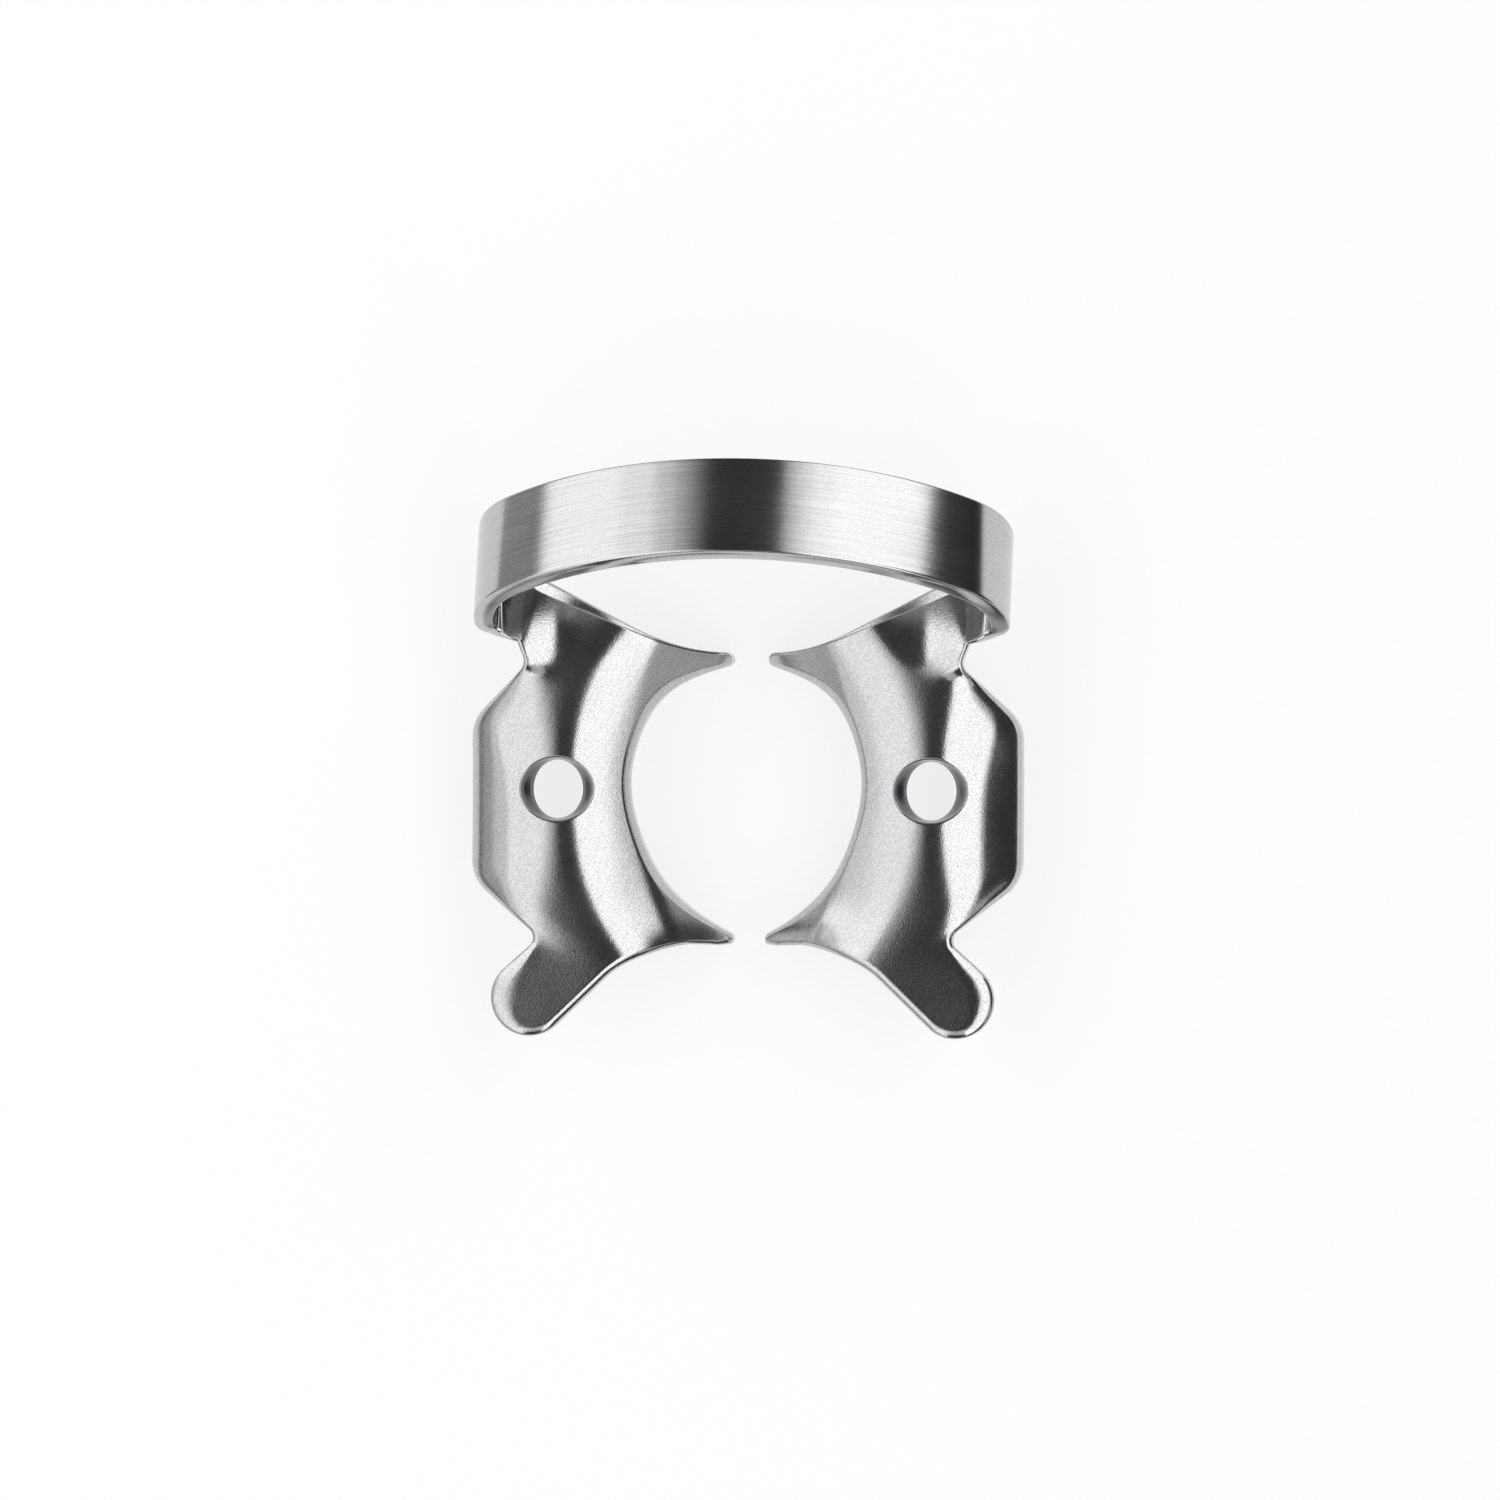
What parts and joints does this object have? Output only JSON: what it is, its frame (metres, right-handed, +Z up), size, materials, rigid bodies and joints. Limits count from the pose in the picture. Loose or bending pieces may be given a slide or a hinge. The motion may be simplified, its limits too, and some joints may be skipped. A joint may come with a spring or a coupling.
{
  "type": "rubber dam clamp",
  "caption": "Sprung dental clamp with winged, pronged jaws and forceps holes, joined by an arched bow, for holding a rubber dam around a tooth.",
  "frame": {"origin": "middle of the bounding box's bottom face, level with the prong tips that the clamp rests on", "axes": "+X across the jaws, +Y along the jaws towards the bow, +Z up from the prong tips towards the bow"},
  "size_m": [0.0214, 0.0224, 0.0109],
  "materials": {
    "steel": "satin ground, with finer brushing along the bow"
  },
  "bodies": {
    "root": {"clamp": "steel"}
  },
  "joints": []
}
